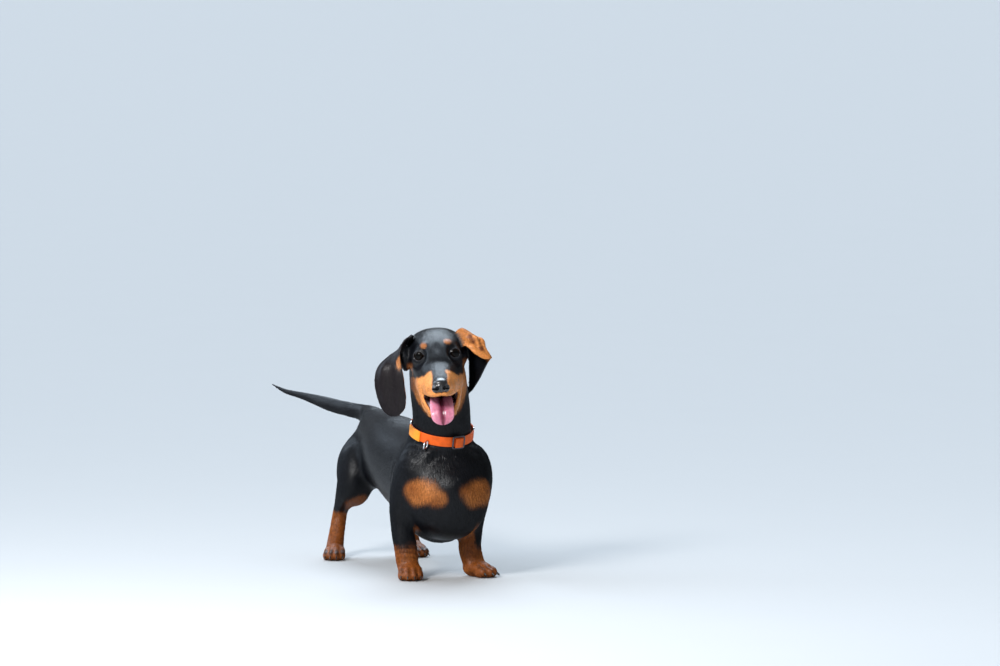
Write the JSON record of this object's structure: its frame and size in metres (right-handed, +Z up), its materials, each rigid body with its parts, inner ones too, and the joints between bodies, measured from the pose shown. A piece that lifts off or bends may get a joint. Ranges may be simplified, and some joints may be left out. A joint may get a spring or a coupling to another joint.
{
  "type": "dachshund",
  "caption": "Young smooth-coated black and tan dachshund standing still, head turned, mouth open and tongue out, an ear folded back, in a webbing collar.",
  "frame": {"origin": "on the floor, under the middle of the whole box", "axes": "+Z up; the dog's body faces -Y and its left side is +X"},
  "size_m": [0.1534, 0.5348, 0.3014],
  "materials": {
    "black_coat": "short, smooth, glossy black hair on skin",
    "tan_coat": "short, smooth tan hair on skin",
    "wet_eye": "wet, near-black brown",
    "nose_leather": "moist, pebbled black",
    "tongue_flesh": "moist pink",
    "orange_webbing": "woven orange webbing",
    "amber_webbing": "woven yellow-orange webbing",
    "gunmetal": "dark, smooth",
    "bright_steel": "bright wire"
  },
  "bodies": {
    "root": {"head": "black_coat", "ear_right": "black_coat", "ear_left": "black_coat", "neck": "black_coat", "torso": "black_coat", "tail": "black_coat", "foreleg_right": "black_coat", "foreleg_left": "black_coat", "hindleg_right": "black_coat", "hindleg_left": "black_coat", "forepaw_right": "tan_coat", "forepaw_left": "tan_coat", "hindpaw_right": "tan_coat", "hindpaw_left": "tan_coat", "eye_right": "wet_eye", "eye_left": "wet_eye", "nose": "nose_leather", "tongue": "tongue_flesh", "collar_band_front": "orange_webbing", "collar_band_back": "orange_webbing", "collar_keeper": "amber_webbing", "collar_slider": "gunmetal", "collar_loop_right": "bright_steel", "collar_loop_left": "bright_steel", "collar_d_ring": "bright_steel"}
  },
  "joints": []
}
